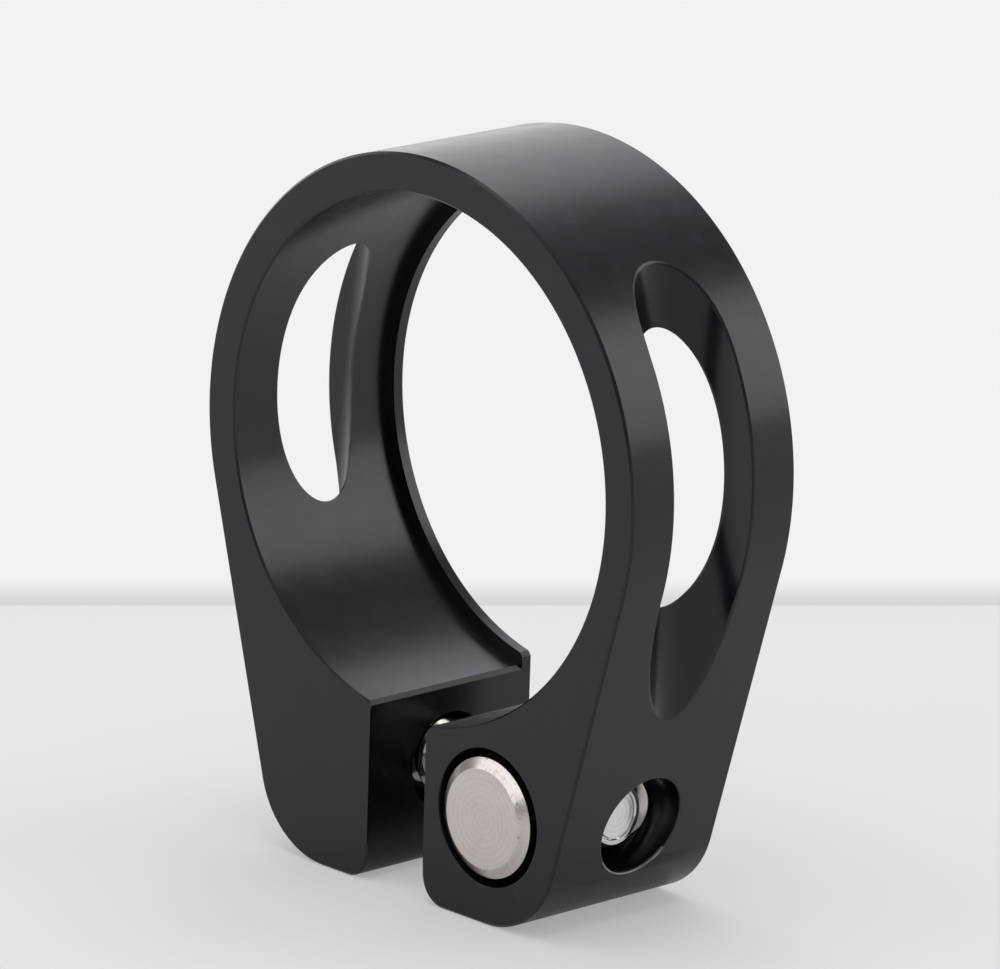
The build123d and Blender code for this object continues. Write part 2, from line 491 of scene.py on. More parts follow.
def collar_blank(s):
    """The collar before its slots and holes: the ring, the lugs, the split and the lip."""
    lean = s.flank_angle
    ring_end = -s.outer_radius * sin(lean)
    piece = open_new(
        "collar",
        bpy.ops.mesh.primitive_circle_add,
        vertices=RING_POINTS,
        radius=s.outer_radius,
        location=(0, collar_front, 0),
        rotation=(pi / 2, 0, 0),
    )
    pick(piece, "VERT", lambda vertex: vertex.co.z < ring_end - MERGE)
    bpy.ops.mesh.delete(type="VERT")
    (_, right_end), _, left_end, _ = mouth_points(s, bore_radius)
    for side, split_x, mouth_z in ((-1, s.split_left, left_end), (1, s.split_right, right_end)):
        pick_point(piece, side * s.outer_radius * cos(lean), collar_front, ring_end)
        draw_lug(piece, s, side, split_x, mouth_z)
    draw_bore(piece, s, bore_radius)
    merge_all()
    bpy.ops.mesh.edge_face_add()

    # The lip: a shelf across the bore's rear end, and the narrower section behind it
    lip_y = collar_rear - s.lip_thickness
    push((0, lip_y - collar_front, 0))
    bpy.ops.mesh.delete(type="ONLY_FACE")
    pick_point(piece, s.split_right, lip_y, right_end)
    draw_bore(piece, s, s.lip_radius)
    line_to(piece, s.split_left, left_end)
    merge_all()
    margin = 0.1 * MM
    shelf_reach = hypot(s.split_right, right_end) + margin

    def on_shelf(vertex):
        return abs(vertex.co.y - lip_y) < MERGE and hypot(vertex.co.x, vertex.co.z) < shelf_reach

    pick(piece, "VERT", on_shelf)
    bpy.ops.mesh.edge_face_add()
    bpy.ops.mesh.select_mode(type="EDGE")
    bpy.ops.mesh.select_all(action="DESELECT")
    bpy.ops.mesh.select_non_manifold()
    bpy.ops.mesh.edge_face_add()
    push((0, s.lip_thickness - s.rear_chamfer, 0))
    face_outwards()
    pick(piece, "FACE", lambda face: lies_at(face, collar_rear - s.rear_chamfer))
    bpy.ops.mesh.inset(thickness=s.rear_chamfer, depth=s.rear_chamfer, use_even_offset=True)
    return piece


def chamfer_front(piece, s):
    """Chamfer the front face's edges: most outside, less on the bore and least along the split."""

    def size_of(edge):
        if all(abs(hypot(vertex.co.x, vertex.co.z) - bore_radius) < MERGE for vertex in edge.verts):
            return s.bore_chamfer
        middle = (edge.verts[0].co + edge.verts[1].co) / 2
        across = s.split_left - MERGE < middle.x < s.split_right + s.right_mouth
        if not across or middle.z < foot_z + s.foot_round or middle.z > 0:
            return s.front_chamfer
        round_mouth = max(0, (middle.x - s.split_right) / s.right_mouth)
        return s.split_chamfer + round_mouth * (s.bore_chamfer - s.split_chamfer)

    mesh = bmesh.from_edit_mesh(piece.data)
    weight = mesh.edges.layers.float.new("bevel_weight_edge")
    for edge in mesh.edges:
        if lies_at(edge, collar_front):
            edge[weight] = size_of(edge) / s.front_chamfer
    bmesh.update_edit_mesh(piece.data)
    close()
    use_modifier(
        piece,
        "Chamfer",
        "BEVEL",
        limit_method="WEIGHT",
        width=s.front_chamfer,
        segments=1,
        use_clamp_overlap=False,
    )


def round_edges(piece, size, steps, test):
    """Round the edges of a piece whose ends both pass a test, where its faces meet at an angle."""
    flat = radians(7)
    reopen(piece)
    pick(
        piece,
        "EDGE",
        lambda edge: all(test(vertex.co) for vertex in edge.verts) and edge.calc_face_angle(0) > flat,
    )
    bpy.ops.mesh.bevel(
        offset=size,
        offset_type="OFFSET",
        segments=steps,
        affect="EDGES",
        loop_slide=False,
        clamp_overlap=False,
    )
    close()


def depth_under(point, s):
    """How deep a point lies under the ring's outside, a lug's flank or a lug's corner."""
    lean = s.flank_angle
    centre_x, centre_z = corner_centre(s)
    out, down = abs(point.x) - centre_x, centre_z - point.z
    if out > 0 and atan2(down, out) > lean:
        return s.corner_radius - hypot(out, down)
    if atan2(-point.z, abs(point.x)) < lean:
        return s.outer_radius - hypot(point.x, point.z)
    return s.outer_radius - abs(point.x) * cos(lean) + point.z * sin(lean)


def is_outside(point, s):
    """Whether a point lies on the ring's outside, on a lug's flank or on a lug's corner."""
    return abs(depth_under(point, s)) < NEAR


def slot_middle(s):
    """How far out the middle of a side slot's round nose lies."""
    return s.outer_radius - s.slot_depth + s.slot_radius


def from_slot(point, s):
    """The way from the middle of the side slot on a point's own side to the point, across the slot."""
    side = 1 if point.x > 0 else -1
    outward = Vector((side * cos(s.slot_tilt), 0, sin(s.slot_tilt)))
    out = (point - side * slot_middle(s) * X).dot(outward)
    return min(out, 0) * outward + point.y * Y


def is_on_slot(point, s):
    """Whether a point lies on the wall of a side slot."""
    return abs(from_slot(point, s).length - s.slot_radius) < NEAR


def join_slot_tips(piece, s):
    """Join the narrow faces where the slots end on the ring, so that the slots' rims round evenly."""
    nose = slot_middle(s) * cos(s.slot_tilt) - s.slot_radius
    tip = s.slot_tilt + acos(nose / s.outer_radius)
    near_tip = radians(0.8)

    def by_tip(vertex):
        height = atan2(vertex.co.z, abs(vertex.co.x))
        return is_outside(vertex.co, s) and abs(height - tip) < near_tip

    reopen(piece)
    pick(piece, "EDGE", lambda edge: edge.calc_length() > s.slot_radius and all(map(by_tip, edge.verts)))
    bpy.ops.mesh.dissolve_edges(use_verts=False)
    close()


def close_cracks(piece):
    """Fill the hairline cracks that a cut can leave."""
    reopen(piece)
    bpy.ops.mesh.select_mode(type="EDGE")
    bpy.ops.mesh.select_non_manifold()
    bpy.ops.mesh.fill_holes(sides=0)
    close()


def from_screw_hole(point, s):
    """How far a point lies outside the wall of the screw's hole."""
    return hypot(point.y, point.z - screw_z + s.screw_hole_drop) - s.screw_hole


def is_on_hole_rim(point, s):
    """Whether a point lies on the outer edge of the screw's hole or of the recess for its head."""
    from_recess = hypot(point.y, point.z - screw_z) - s.head_recess
    return min(abs(from_screw_hole(point, s)), abs(from_recess)) < NEAR and is_outside(point, s)


def is_on_worn_edge(point, s):
    """Whether a point lies on the lower edge of the screw's hole in the right flank."""
    low_share = 0.6
    margin = 1.2 * s.screw_hole_edge
    is_low = point.x > 0 and point.z < screw_z - s.screw_hole_drop - low_share * s.screw_hole
    return is_low and max(abs(from_screw_hole(point, s)), abs(depth_under(point, s))) < margin


def true_normals(point, s):
    """The normals of the collar's round and flat surfaces that a point lies on."""
    lean = s.flank_angle
    side = 1 if point.x > 0 else -1
    around = Vector((point.x, 0, point.z))
    planes = (
        (Vector((side * cos(lean), 0, -sin(lean))), s.outer_radius),
        (-Y, -collar_front),
        (Y, collar_rear),
        (-Y, s.lip_thickness - collar_rear),
        (-Z, -foot_z),
        (X, s.split_left),
        (-X, -s.split_right),
    )
    normals = [normal for normal, distance in planes if abs(point.dot(normal) - distance) < NEAR]
    if abs(around.length - s.outer_radius) < NEAR:
        normals.append(around.normalized())
    if min(abs(around.length - bore_radius), abs(around.length - s.lip_radius)) < NEAR:
        normals.append(-around.normalized())
    if is_on_slot(point, s):
        normals.append(-from_slot(point, s).normalized())
    return normals


def even_shading(piece, s):
    """Shade each face of the collar by the true surface that its corners lie on."""
    mesh = piece.data
    alike = cos(radians(25))
    shading = [Vector() for _ in mesh.loops]
    for face in mesh.polygons:
        for corner in face.loop_indices:
            normals = true_normals(mesh.vertices[mesh.loops[corner].vertex_index].co, s)
            nearest = max(normals, key=face.normal.dot, default=Vector())
            if nearest.dot(face.normal) > alike:
                shading[corner] = nearest
    mesh.normals_split_custom_set(shading)


def slot_tool(s, side):
    """A round-nosed cutter that leans a little and runs out above and below the ring."""
    nose_x = side * slot_middle(s)
    tall, wide = 60 * MM, 20 * MM
    piece = open_new(
        "tool",
        bpy.ops.mesh.primitive_cylinder_add,
        vertices=HOLE_STEPS,
        radius=s.slot_radius,
        depth=tall,
        location=(nose_x, 0, 0),
    )
    pick(piece, "VERT", lambda vertex: side * (vertex.co.x - nose_x) > MERGE)
    bpy.ops.mesh.delete(type="VERT")
    pick(piece, "EDGE", lambda edge: all(abs(vertex.co.x - nose_x) < MERGE for vertex in edge.verts))
    bpy.ops.mesh.extrude_edges_move(TRANSFORM_OT_translate={"value": side * wide * X})
    fill_ends()
    bpy.ops.transform.rotate(value=side * s.slot_tilt, orient_axis="Y", center_override=(nose_x, 0, 0))
    merge_all()
    face_outwards()
    close()
    return piece


def window_tool(s, side):
    """A cutter straight through the ring's wall that blunts a slot's sharp edge in the bore.

    Its outline is where the bore would meet a slightly wider slot.
    """
    radius = s.slot_radius + s.slot_edge
    middle = slot_middle(s) * cos(s.slot_tilt)
    widest = acos((middle - bore_radius) / radius)
    start, reach = 12 * MM, 15 * MM
    outline = []
    for step in range(WINDOW_STEPS + 1):
        turn = 2 * pi * step / WINDOW_STEPS
        nose = widest * sin(turn)
        half = acos(min(1, (middle - radius * cos(nose)) / bore_radius))
        height = s.slot_tilt + copysign(half, cos(turn))
        outline.append(Vector((side * start, radius * sin(nose), bore_radius * sin(height))))
    piece = open_point("tool", outline[0])
    for last, point in zip(outline, outline[1:]):
        draw_on(point - last)
    merge_all()
    bpy.ops.mesh.edge_face_add()
    push(side * reach * X)
    face_outwards()
    close()
    return piece


def drill_barrel_hole(piece, s):
    """Drill the hole for the barrel nut, with a recess at both ends whose edge is rounded in two steps."""
    half = collar_rear
    wide, edge = s.barrel_hole + s.recess_width, s.recess_edge
    knee_depth, knee_width, flare = 0.28, 0.39, 2.2
    end = [
        (-half - OVER, 0),
        (-half - OVER, wide + edge + flare * OVER),
        (-half + knee_depth * edge, wide + knee_width * edge),
        (-half + edge, wide),
        (-half + s.recess_depth, wide),
        (-half + s.recess_depth + s.recess_width, s.barrel_hole),
    ]
    drilled(piece, Y, barrel_line, both_ends(end))


def drill_screw_hole(piece, s):
    """Drill the screw's hole through both lugs, and the recess for its head."""
    drilled(piece, X, screw_line - s.screw_hole_drop * Z, plain_hole(-THROUGH, THROUGH, s.screw_hole))
    drilled(piece, X, screw_line, plain_hole(-THROUGH, washer_high.x + s.head_play, s.head_recess))


class CLAMP_OT_collar(Operator):
    """Model the split collar with its lip, side slots and screw holes"""

    bl_idname = "clamp.collar"
    bl_label = "Collar"

    def execute(self, context):
        s = context.scene.clamp_collar
        piece = collar_blank(s)
        chamfer_front(piece, s)
        join_slot_tips(piece, s)
        for side in (-1, 1):
            cut(piece, slot_tool(s, side))
            cut(piece, window_tool(s, side))
        round_edges(
            piece, s.slot_rim, SLOT_RIM_STEPS, lambda point: is_on_slot(point, s) and is_outside(point, s)
        )
        drill_barrel_hole(piece, s)
        drill_screw_hole(piece, s)
        round_edges(piece, s.screw_hole_edge, HOLE_RIM_STEPS, lambda point: is_on_hole_rim(point, s))
        close_cracks(piece)
        smooth(piece, COLLAR_CREASE)
        even_shading(piece, s)
        mark_faces(piece, "milled", lambda corner: is_on_slot(corner, s))
        mark_faces(piece, "worn", lambda corner: is_on_worn_edge(corner, s))
        paint(piece, black_anodised(s))
        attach(piece, "collar")
        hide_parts("clamp_collar")
        return {"FINISHED"}


class CLAMP_OT_barrel(Operator):
    """Model the barrel nut with its turned ends and its threaded cross hole"""

    bl_idname = "clamp.barrel"
    bl_label = "Barrel nut"

    def execute(self, context):
        s = context.scene.clamp_barrel
        half = barrel_high.y
        radius = (barrel_high.x - barrel_low.x) / 2
        flat = radius - s.bevel_width
        hollow = -half + s.ring_depth
        to_hollow = 0.7 * s.ring_pitch
        end = [(-half, 0), (hollow, s.nib / 2)]
        for ring in range(int(flat / s.ring_pitch)):
            crest = s.nib + ring * s.ring_pitch
            end += [(-half, crest), (hollow, crest + to_hollow)]
        end += [(-half, flat), (-half + s.bevel_length, radius)]
        piece = turned("barrel", Y, barrel_line, both_ends(end), BARREL_STEPS)
        reach = 2 * radius
        mouth = s.thread_radius + s.mouth
        bite = sqrt(radius**2 - mouth**2)
        hole_end = [(-reach, 0), (-reach, mouth + reach - bite), (-bite + s.mouth, s.thread_radius)]
        drilled(piece, X, barrel_line, both_ends(hole_end))
        smooth(piece, STEEL_CREASE)
        paint(piece, turned_steel("turned_steel", s, barrel_line, (pi / 2, 0, 0), flat))
        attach(piece, "nut")
        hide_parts("barrel_nut")
        return {"FINISHED"}


class CLAMP_OT_screw(Operator):
    """Model the socket screw: knurled head, hexagon socket and cut thread"""

    bl_idname = "clamp.screw"
    bl_label = "Socket screw"

    def execute(self, context):
        s = context.scene.clamp_screw
        head_radius = (bolt_high.z - bolt_low.z) / 2
        head_seat = bolt_low.x + s.head_height
        tip_start = bolt_high.x - (s.radius - s.core_radius)
        profile = [
            (bolt_low.x, 0),
            (bolt_low.x, head_radius - s.head_chamfer),
            (bolt_low.x + s.head_chamfer, head_radius),
            (head_seat, head_radius),
            (head_seat, s.radius),
            (tip_start, s.radius),
            (bolt_high.x, s.core_radius),
            (bolt_high.x, s.groove_radius + s.groove_width / 2),
            (bolt_high.x - s.groove_depth, s.groove_radius),
            (bolt_high.x, s.groove_radius - s.groove_width / 2),
            (bolt_high.x, 0),
        ]
        piece = turned("screw", X, screw_line, profile, TOOTH_STEPS * s.knurl_teeth)
        press_knurl(piece, s, head_radius)
        cut(piece, thread_tool(s, head_seat))
        cut(piece, socket_tool(s))
        smooth(piece, STEEL_CREASE)
        # Painted shade: marks the thread from the neck to the tip, which lies in the shade between the lugs
        unshaded_neck = 1.0 * MM
        mark_faces(piece, "shaded_thread", lambda corner: head_seat + unshaded_neck < corner.x < tip_start + MERGE)
        paint(piece, turned_steel("bright_zinc", s, screw_line, (0, pi / 2, 0), s.groove_radius))
        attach(piece, "screw")
        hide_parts("clamp_bolt")
        return {"FINISHED"}


def press_knurl(piece, s, head_radius):
    """Press straight grooves into the side of the head, one to each tooth."""

    def in_groove(vertex):
        tooth = atan2(vertex.co.z - screw_z, vertex.co.y) / (2 * pi) * s.knurl_teeth
        on_side = abs(hypot(vertex.co.y, vertex.co.z - screw_z) - head_radius) < NEAR
        return on_side and abs(tooth - round(tooth)) < 0.5 / TOOTH_STEPS

    reopen(piece)
    pick(piece, "VERT", in_groove)
    narrower = 1 - s.knurl_depth / head_radius
    bpy.ops.transform.resize(value=(1, narrower, narrower), center_override=screw_line)
    close()


def thread_tool(s, head_seat):
    """The thread's groove as one closed helical cutter about the screw's axis."""
    plain_neck = 2.5 * s.pitch
    spare_turns = 2
    flank_angle = radians(30)
    start = head_seat + plain_neck
    turns = ceil((bolt_high.x - start) / s.pitch) + spare_turns
    crest, root = s.pitch / 8, s.pitch / 16
    over = 0.02 * MM
    half_width = (s.pitch - crest) / 2 + over * tan(flank_angle)
    outer = s.radius + over
    piece = open_point("tool", (start - half_width, 0, outer))
    line_to(piece, start - root, s.core_radius)
    line_to(piece, start + root, s.core_radius)
    line_to(piece, start + half_width, outer)
    line_to(piece, start - half_width, outer)
    merge_all()
    close()
    use_modifier(
        piece,
        "Thread",
        "SCREW",
        axis="X",
        angle=2 * pi,
        screw_offset=s.pitch,
        iterations=turns,
        steps=s.knurl_teeth,
        render_steps=s.knurl_teeth,
    )
    reopen(piece)
    fill_ends()
    half_step = pi / (TOOTH_STEPS * s.knurl_teeth)
    bpy.ops.transform.rotate(value=half_step, orient_axis="X", center_override=(0, 0, 0))
    bpy.ops.transform.translate(value=screw_line)
    merge_all()
    face_outwards()
    close()
    return piece


def socket_tool(s):
    """A hexagonal cutter for the socket."""
    across_corners = s.socket_flats / cos(pi / 6)
    piece = open_new(
        "tool",
        bpy.ops.mesh.primitive_cylinder_add,
        vertices=6,
        radius=across_corners / 2,
        depth=s.socket_depth + OVER,
        location=(bolt_low.x + (s.socket_depth - OVER) / 2, 0, screw_z),
        rotation=(0, pi / 2, 0),
    )
    face_outwards()
    close()
    return piece


class CLAMP_OT_washer(Operator):
    """Model the flat washer under the screw's head"""

    bl_idname = "clamp.washer"
    bl_label = "Washer"

    def execute(self, context):
        s = context.scene.clamp_screw
        radius = (washer_high.z - washer_low.z) / 2
        low, high, edge = washer_low.x, washer_high.x, s.washer_chamfer
        profile = [
            (low, 0),
            (low, radius - edge),
            (low + edge, radius),
            (high - edge, radius),
            (high, radius - edge),
            (high, 0),
        ]
        piece = turned("washer", X, screw_line, profile, WASHER_STEPS)
        drilled(piece, X, screw_line, plain_hole(low - OVER, high + OVER, s.washer_hole))
        smooth(piece, STEEL_CREASE)
        paint(piece, bpy.data.materials["bright_zinc"])
        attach(piece, "washer")
        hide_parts("bolt_washer")
        return {"FINISHED"}


def feed(tree, node, wires):
    """Set each input of a node to a value, or join it to another node's output."""
    for name, value in wires.items():
        if isinstance(value, bpy.types.NodeSocket):
            tree.links.new(value, node.inputs[name])
        else:
            node.inputs[name].default_value = value


def add_node(tree, kind, wires, **values):
    """Add a node, set its values and feed its inputs."""
    node = tree.nodes.new(kind)
    for key, value in values.items():
        setattr(node, key, value)
    feed(tree, node, wires)
    return node


def worked_out(tree, operation, first, second):
    """What an operation makes of two values."""
    return add_node(tree, "ShaderNodeMath", {0: first, 1: second}, operation=operation).outputs[0]


def times(tree, first, second):
    """The product of two values."""
    return worked_out(tree, "MULTIPLY", first, second)


def plus(tree, first, second):
    """The sum of two values."""
    return worked_out(tree, "ADD", first, second)


def mixed(tree, amount, first, second):
    """The mix of two colours, with an amount of the second."""
    return add_node(tree, "ShaderNodeMix", {0: amount, 6: first, 7: second}, data_type="RGBA").outputs[2]


def spread(tree, value, low, high):
    """A value from 0 to 1, spread between two others."""
    wires = {"Value": value, "To Min": low, "To Max": high}
    return add_node(tree, "ShaderNodeMapRange", wires).outputs["Result"]


def rise(tree, value, low, high, **kind):
    """How far a value has risen from one level to another, from 0 to 1."""
    wires = {"Value": value, "From Min": low, "From Max": high}
    return add_node(tree, "ShaderNodeMapRange", wires, **kind).outputs["Result"]


def noise(tree, place, scale, detail, roughness=0.5):
    """A random pattern from 0 to 1."""
    wires = {"Vector": place, "Scale": scale, "Detail": detail, "Roughness": roughness}
    return add_node(tree, "ShaderNodeTexNoise", wires).outputs["Fac"]


def coordinates(tree, kind):
    """Where a point of the surface lies."""
    return add_node(tree, "ShaderNodeTexCoord", {}).outputs[kind]


def height_of(tree, place):
    """The upward part of a place."""
    return add_node(tree, "ShaderNodeSeparateXYZ", {"Vector": place}).outputs["Z"]


def marked(tree, mark):
    """The mark that mark_faces has put on the surface."""
    return add_node(tree, "ShaderNodeAttribute", {}, attribute_name=mark).outputs["Fac"]


def grouped(tree, group, wires):
    """The outputs of a node group that is placed in a material."""
    return add_node(tree, "ShaderNodeGroup", wires, node_tree=group).outputs


def relief(tree, height, depth):
    """The normals of a surface out of which a height from 0 to 1 stands by a depth."""
    wires = {"Height": height, "Strength": 1.0, "Distance": depth}
    return add_node(tree, "ShaderNodeBump", wires).outputs["Normal"]


def new_group(name, inputs, outputs):
    """A shader node group with a vector and numbers going in and numbers coming out."""
    tree = bpy.data.node_groups.new(name, "ShaderNodeTree")
    tree.interface.new_socket("Vector", in_out="INPUT", socket_type="NodeSocketVector")
    for socket in inputs:
        tree.interface.new_socket(socket, in_out="INPUT", socket_type="NodeSocketFloat")
    for socket in outputs:
        tree.interface.new_socket(socket, in_out="OUTPUT", socket_type="NodeSocketFloat")
    return tree, tree.nodes.new("NodeGroupInput").outputs, tree.nodes.new("NodeGroupOutput")


def blasted_grain():
    """The group of a finely blasted surface: a grain, and the clouds and specks that lie over it."""
    if "blasted_grain" in bpy.data.node_groups:
        return bpy.data.node_groups["blasted_grain"]
    inputs = ("Grain scale", "Cloud scale", "Speck scale", "Speck share")
    tree, given, result = new_group("blasted_grain", inputs, ("Grain", "Cloud", "Speck"))
    place = given["Vector"]
    grain = noise(tree, place, given["Grain scale"], detail=2)
    cloud = noise(tree, place, given["Cloud scale"], detail=5, roughness=0.62)
    speck = noise(tree, place, given["Speck scale"], detail=3, roughness=0.7)
    thinnest, thickest = 0.3, 0.7
    speck_edge = 0.12
    bare = worked_out(tree, "SUBTRACT", 1.0, given["Speck share"])
    clouds = rise(tree, cloud, thinnest, thickest)
    specks = rise(tree, speck, bare, plus(tree, bare, speck_edge))
    feed(tree, result, {"Grain": grain, "Cloud": clouds, "Speck": specks})
    return tree


def lathe_rings():
    """The group of a turned end: rings round the vector's own Z axis, and the distance from that axis."""
    if "lathe_rings" in bpy.data.node_groups:
        return bpy.data.node_groups["lathe_rings"]
    tree, given, result = new_group("lathe_rings", ("Pitch",), ("Ring", "Radius"))
    wave_per_scale = 2 * pi / 20
    scale = worked_out(tree, "DIVIDE", wave_per_scale, given["Pitch"])
    wave = add_node(
        tree,
        "ShaderNodeTexWave",
        {"Vector": given["Vector"], "Scale": scale, "Distortion": 1.6, "Detail": 3, "Detail Scale": 0.7},
        wave_type="RINGS",
        rings_direction="Z",
    )
    flat = add_node(tree, "ShaderNodeVectorMath", {0: given["Vector"], 1: (1, 1, 0)}, operation="MULTIPLY")
    radius = add_node(tree, "ShaderNodeVectorMath", {0: flat.outputs[0]}, operation="LENGTH")
    feed(tree, result, {"Ring": wave.outputs["Fac"], "Radius": radius.outputs["Value"]})
    return tree


def new_material(name):
    """A node material with only its output and one shader; returns it, its tree and the shader."""
    material = bpy.data.materials.new(name)
    material.use_nodes = True
    tree = material.node_tree
    return material, tree, tree.nodes["Principled BSDF"]


def black_anodised(s):
    """Satin black anodising over a fine blasted grain, streaked on milled walls and bare on a worn edge."""
    streak_scale, streak_stretch = 2400, 0.02
    paler, browning, least_bare, unevenness = 2, 0.4, 0.3, 0.025
    material, tree, shader = new_material("black_anodised")
    place = coordinates(tree, "Object")
    scales = {"Grain scale": 7500, "Cloud scale": 600, "Speck scale": 2600, "Speck share": 0.42}
    surface = grouped(tree, blasted_grain(), {"Vector": place, **scales})
    along_slot = add_node(tree, "ShaderNodeMapping", {"Vector": place, "Scale": (1, 1, streak_stretch)})
    streak = noise(tree, along_slot.outputs["Vector"], streak_scale, detail=3)
    streaks = times(tree, marked(tree, "milled"), times(tree, streak, s.streaks))
    clouded = mixed(tree, surface["Cloud"], (*s.tint, 1), (*(paler * Vector(s.tint)), 1))
    dyed = mixed(tree, times(tree, surface["Speck"], browning), clouded, (*s.cloud_tint, 1))
    bare = times(tree, marked(tree, "worn"), spread(tree, surface["Cloud"], least_bare, 1.0))
    wires = {
        "Base Color": mixed(tree, bare, dyed, (*s.bare_tint, 1)),
        "Metallic": bare,
        "Roughness": spread(tree, surface["Cloud"], s.roughness - unevenness, s.roughness + unevenness),
        "Specular IOR Level": s.gloss,
        "Specular Tint": (*s.gloss_tint, 1),
        "Normal": relief(tree, plus(tree, surface["Grain"], streaks), s.grain_depth),
    }
    feed(tree, shader, wires)
    return material


def turned_steel(name, s, centre, turn, flat):
    """Steel turned on a lathe round an axis: rings on its flat end, stained specks outside it, and painted
    shade on a marked thread.
    """
    rim_edge = 0.08 * MM
    flat_specks, rim_specks, rim_stain = 0.12, 0.9, 0.15
    lightest_painted_shade, dullness, dull_shade = 0.5, 0.18, 0.72
    unevenness, rim_polish, grain_height = 0.06, 0.1, 0.8
    material, tree, shader = new_material(name)
    place = coordinates(tree, "Object")
    own = add_node(
        tree,
        "ShaderNodeMapping",
        {"Vector": place, "Location": centre, "Rotation": turn},
        vector_type="TEXTURE",
    )
    rings = grouped(tree, lathe_rings(), {"Vector": own.outputs["Vector"], "Pitch": s.ring_pitch})
    scales = {"Grain scale": 6000, "Cloud scale": 900, "Speck scale": 3600, "Speck share": s.specks}
    surface = grouped(tree, blasted_grain(), {"Vector": place, **scales})
    rim = rise(tree, rings["Radius"], flat - rim_edge, flat + rim_edge)
    specked = times(tree, surface["Speck"], spread(tree, rim, flat_specks, rim_specks))
    specked = plus(tree, specked, times(tree, rim, rim_stain))
    # Painted shade: the marked thread is darkened, standing in for the shade between the lugs
    painted_thread_shade = spread(tree, surface["Cloud"], lightest_painted_shade * s.painted_shade_depth, s.painted_shade_depth)
    # Both the specks and the painted thread shade go into this mix
    stained = worked_out(tree, "MAXIMUM", specked, times(tree, marked(tree, "shaded_thread"), painted_thread_shade))
    dull = times(tree, plus(tree, rings["Ring"], surface["Cloud"]), dullness)
    turned_colour = mixed(tree, dull, (*s.tint, 1), (*(dull_shade * Vector(s.tint)), 1))
    rough = spread(tree, surface["Cloud"], s.roughness - unevenness, s.roughness + unevenness)
    grain = times(tree, surface["Grain"], grain_height)
    wires = {
        "Base Color": mixed(tree, stained, turned_colour, (*s.speck_and_shade_tint, 1)),
        "Metallic": 1,
        "Roughness": plus(tree, rough, times(tree, rim, -rim_polish)),
        "Normal": relief(tree, plus(tree, rings["Ring"], grain), s.ring_relief),
    }
    feed(tree, shader, wires)
    return material


def pale_floor(s):
    """A matt floor that stays pale to the eye and to mirrors, and keeps a soft shadow."""
    material, tree, shader = new_material("floor")
    ray = add_node(tree, "ShaderNodeLightPath", {}).outputs
    mirrored = plus(tree, ray["Is Glossy Ray"], ray["Is Transmission Ray"])
    wires = {
        "Base Color": (*s.floor_tint, 1),
        "Roughness": 1,
        "Specular IOR Level": 0,
        "Emission Color": (*s.floor_glow, 1),
        "Emission Strength": plus(tree, ray["Is Camera Ray"], times(tree, mirrored, s.floor_mirror)),
    }
    feed(tree, shader, wires)
    return material


def soft_cove(s):
    """The shade in the bend behind the floor, which fades upwards into the backdrop."""
    material, tree, shader = new_material("cove")
    height = height_of(tree, coordinates(tree, "Object"))
    fade = rise(tree, height, foot_z, foot_z + s.cove_height, interpolation_type="SMOOTHSTEP")
    wires = {
        "Base Color": (0, 0, 0, 1),
        "Specular IOR Level": 0,
        "Emission Color": mixed(tree, fade, (*s.cove_tint, 1), (*s.backdrop, 1)),
        "Emission Strength": 1,
    }
    feed(tree, shader, wires)
    return material


def studio(s):
    """The studio round the clamp: a dim room above the floor's level and a pale backdrop below it."""
    fade_start, fade_end = -0.02, 0.06
    world = bpy.data.worlds.new("studio")
    world.use_nodes = True
    tree = world.node_tree
    height = height_of(tree, coordinates(tree, "Generated"))
    above = rise(tree, height, fade_start, fade_end)
    feed(tree, tree.nodes["Background"], {"Color": mixed(tree, above, (*s.backdrop, 1), (*s.room, 1))})
    return world


def softbox(name, toward, distance, width, height, brightness, tint):
    """A rectangular lamp in some direction from the clamp, which it faces."""
    lamp = bpy.data.lights.new(name, "AREA")
    lamp.shape = "RECTANGLE"
    lamp.size = width
    lamp.size_y = height
    lamp.color = tint
    lamp.energy = brightness * pi * width * height
    piece = bpy.data.objects.new(name, lamp)
    turn = toward.to_track_quat("Z", "Y").to_matrix().to_4x4()
    piece.matrix_world = Matrix.Translation(toward * distance) @ turn
    bpy.context.scene.collection.objects.link(piece)


def hang_lamps(s, along, away):
    """Hang the four lamps, each as wide and as high as some share of its distance."""

    def direction(turn, lift):
        level = cos(radians(turn)) * away + sin(radians(turn)) * along
        return cos(radians(lift)) * level + sin(radians(lift)) * Z

    lamps = (
        ("top_light", Z, 1.1, 1.1, s.top_glow, s.plain_tint),
        ("back_light", direction(4, 24), 1.7, 0.9, s.back_glow, s.back_tint),
        ("side_light", direction(88, 22), 0.65, 0.58, s.side_glow, s.side_tint),
        ("left_light", direction(-104, 28), 1.6, 0.62, s.left_glow, s.plain_tint),
    )
    far = s.lamp_distance
    for name, toward, width, height, brightness, tint in lamps:
        softbox(name, toward, far, width * far, height * far, brightness, tint)


def camera_axes(s):
    """The camera's right, up and backward directions."""
    back = Vector(
        (sin(s.azimuth) * cos(s.elevation), -cos(s.azimuth) * cos(s.elevation), sin(s.elevation))
    )
    level_right = Vector((cos(s.azimuth), sin(s.azimuth), 0))
    level_up = back.cross(level_right)
    right = cos(s.roll) * level_right + sin(s.roll) * level_up
    up = cos(s.roll) * level_up - sin(s.roll) * level_right
    return right, up, back


def set_camera(scene, s, place, axes):
    """Set the scene's camera at a place, turned to its axes."""
    camera = bpy.data.cameras.new("camera")
    camera.sensor_fit = "HORIZONTAL"
    camera.sensor_width = SENSOR_WIDTH
    camera.lens = s.lens
    camera.clip_start = NEAREST
    camera.clip_end = FARTHEST
    scene.camera = bpy.data.objects.new("camera", camera)
    scene.collection.objects.link(scene.camera)
    scene.camera.matrix_world = Matrix.Translation(place) @ Matrix(axes).transposed().to_4x4()


